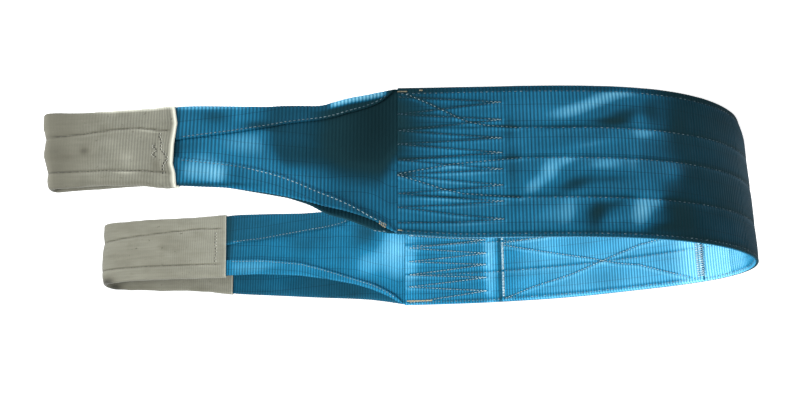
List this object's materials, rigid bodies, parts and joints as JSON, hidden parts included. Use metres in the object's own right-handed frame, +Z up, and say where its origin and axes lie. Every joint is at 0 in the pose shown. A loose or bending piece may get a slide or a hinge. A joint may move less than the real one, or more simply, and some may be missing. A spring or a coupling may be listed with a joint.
{
  "type": "flat web sling",
  "caption": "Doubled flat webbing lifting sling with folded, sleeved soft eyes, standing on its edge bent in a U, with flex joints round the bight and in both eyes.",
  "frame": {"origin": "centre of the sling's bounding box in plan, on the floor the sling's edge stands on", "axes": "+Z up, across the webbing's width; +X along the legs towards the two eyes, with the bight at -X; the near leg lies at -Y and the far leg at +Y"},
  "size_m": [1.206, 0.6702, 0.24],
  "materials": {
    "webbing": "blue woven polyester webbing with crosswise ribs",
    "sleeve": "grey woven wear sleeve with crosswise ribs",
    "stitching": "pale polyester sewing thread",
    "tack_thread": "tan bar-tack thread"
  },
  "bodies": {
    "near_leg": {"near_leg_outer_ply": "webbing", "near_leg_inner_ply": "webbing", "near_leg_seam_threads": "stitching", "near_splice_zigzag_thread": "stitching", "near_corner_tacks": "tack_thread"},
    "bight_1": {"bight_1_outer_ply": "webbing", "bight_1_inner_ply": "webbing", "bight_1_seam_threads": "stitching"},
    "bight_2": {"bight_2_outer_ply": "webbing", "bight_2_inner_ply": "webbing", "bight_2_seam_threads": "stitching"},
    "bight_3": {"bight_3_outer_ply": "webbing", "bight_3_inner_ply": "webbing", "bight_3_seam_threads": "stitching"},
    "bight_4": {"bight_4_outer_ply": "webbing", "bight_4_inner_ply": "webbing", "bight_4_seam_threads": "stitching"},
    "bight_5": {"bight_5_outer_ply": "webbing", "bight_5_inner_ply": "webbing", "bight_5_seam_threads": "stitching", "bight_5_lap_ply": "webbing"},
    "far_leg": {"far_leg_outer_ply": "webbing", "far_leg_inner_ply": "webbing", "far_leg_lap_ply": "webbing", "far_leg_seam_threads": "stitching", "far_splice_zigzag_thread": "stitching", "far_corner_tacks": "tack_thread", "far_lap_end_thread": "stitching", "far_lap_cross_thread": "stitching"},
    "near_eye_inner_neck": {"near_eye_inner_neck_web": "webbing", "near_eye_inner_neck_thread": "stitching"},
    "near_eye_inner_tip": {"near_eye_inner_tip_web": "webbing", "near_eye_inner_sleeve": "sleeve", "near_eye_inner_sleeve_thread": "stitching"},
    "near_eye_outer_neck": {"near_eye_outer_neck_web": "webbing", "near_eye_outer_neck_thread": "stitching"},
    "near_eye_outer_tip": {"near_eye_outer_tip_web": "webbing", "near_eye_outer_sleeve": "sleeve", "near_eye_outer_sleeve_thread": "stitching"},
    "far_eye_inner_neck": {"far_eye_inner_neck_web": "webbing", "far_eye_inner_neck_thread": "stitching"},
    "far_eye_inner_tip": {"far_eye_inner_tip_web": "webbing", "far_eye_inner_sleeve": "sleeve", "far_eye_inner_sleeve_thread": "stitching"},
    "far_eye_outer_neck": {"far_eye_outer_neck_web": "webbing", "far_eye_outer_neck_thread": "stitching"},
    "far_eye_outer_tip": {"far_eye_outer_tip_web": "webbing", "far_eye_outer_sleeve": "sleeve", "far_eye_outer_sleeve_thread": "stitching"}
  },
  "joints": [
    {"name": "bight_flex_1", "type": "hinge", "parent": "near_leg", "child": "bight_1", "pos_m": [-0.41818, -0.3001, 0.12], "axis": [0, 0, 1], "range_deg": [-0.91, 20]},
    {"name": "bight_flex_2", "type": "hinge", "parent": "bight_1", "child": "bight_2", "pos_m": [-0.51713, -0.25013, 0.12], "axis": [0, 0, 1], "range_deg": [-1.19, 25.05]},
    {"name": "bight_flex_3", "type": "hinge", "parent": "bight_2", "child": "bight_3", "pos_m": [-0.58305, -0.1737, 0.12], "axis": [0, 0, 1], "range_deg": [-1.55, 33.05]},
    {"name": "bight_flex_4", "type": "hinge", "parent": "bight_3", "child": "bight_4", "pos_m": [-0.60268, -0.08482, 0.12], "axis": [0, 0, 1], "range_deg": [-1.55, 33.05]},
    {"name": "bight_flex_5", "type": "hinge", "parent": "bight_4", "child": "bight_5", "pos_m": [-0.56971, 0.00005, 0.12], "axis": [0, 0, 1], "range_deg": [-1.28, 27.05]},
    {"name": "bight_flex_6", "type": "hinge", "parent": "bight_5", "child": "far_leg", "pos_m": [-0.5016, 0.06749, 0.12], "axis": [0, 0, 1], "range_deg": [-0.96, 20.05]},
    {"name": "near_eye_swing", "type": "hinge", "parent": "near_leg", "child": "near_eye_inner_neck", "pos_m": [0.0008, -0.30758, 0.12], "axis": [0, 0, -1], "range_deg": [-10, 45]},
    {"name": "near_eye_open", "type": "hinge", "parent": "near_eye_inner_neck", "child": "near_eye_inner_tip", "pos_m": [0.26373, -0.3107, 0.12], "axis": [0, 0, -1], "range_deg": [0, 45]},
    {"name": "near_eye_tip_flex", "type": "hinge", "parent": "near_eye_inner_tip", "child": "near_eye_outer_tip", "pos_m": [0.52667, -0.32765, 0.12], "axis": [0, 0, -1], "range_deg": [-45.05, 0.05]},
    {"name": "near_eye_outer_flex", "type": "hinge", "parent": "near_eye_outer_tip", "child": "near_eye_outer_neck", "pos_m": [0.26373, -0.32452, 0.12], "axis": [0, 0, -1], "range_deg": [-0.05, 45.05]},
    {"name": "far_eye_swing", "type": "hinge", "parent": "far_leg", "child": "far_eye_inner_neck", "pos_m": [-0.01369, 0.2611, 0.12], "axis": [0, 0, 1], "range_deg": [-5, 45]},
    {"name": "far_eye_open", "type": "hinge", "parent": "far_eye_inner_neck", "child": "far_eye_inner_tip", "pos_m": [0.29478, 0.23596, 0.12], "axis": [0, 0, 1], "range_deg": [-6, 40]},
    {"name": "far_eye_tip_flex", "type": "hinge", "parent": "far_eye_inner_tip", "child": "far_eye_outer_tip", "pos_m": [0.60325, 0.29059, 0.12], "axis": [0, 0, 1], "range_deg": [-40.05, 6.05]},
    {"name": "far_eye_outer_flex", "type": "hinge", "parent": "far_eye_outer_tip", "child": "far_eye_outer_neck", "pos_m": [0.29478, 0.31572, 0.12], "axis": [0, 0, 1], "range_deg": [-6.05, 40.05]}
  ],
  "couplings": [
    {"joint": "bight_flex_2", "follows": "bight_flex_1", "ratio": 1.25},
    {"joint": "bight_flex_3", "follows": "bight_flex_1", "ratio": 1.65},
    {"joint": "bight_flex_4", "follows": "bight_flex_1", "ratio": 1.65},
    {"joint": "bight_flex_5", "follows": "bight_flex_1", "ratio": 1.35},
    {"joint": "bight_flex_6", "follows": "bight_flex_1", "ratio": 1},
    {"joint": "near_eye_tip_flex", "follows": "near_eye_open", "ratio": -1},
    {"joint": "near_eye_outer_flex", "follows": "near_eye_open", "ratio": 1},
    {"joint": "far_eye_tip_flex", "follows": "far_eye_open", "ratio": -1},
    {"joint": "far_eye_outer_flex", "follows": "far_eye_open", "ratio": 1}
  ]
}
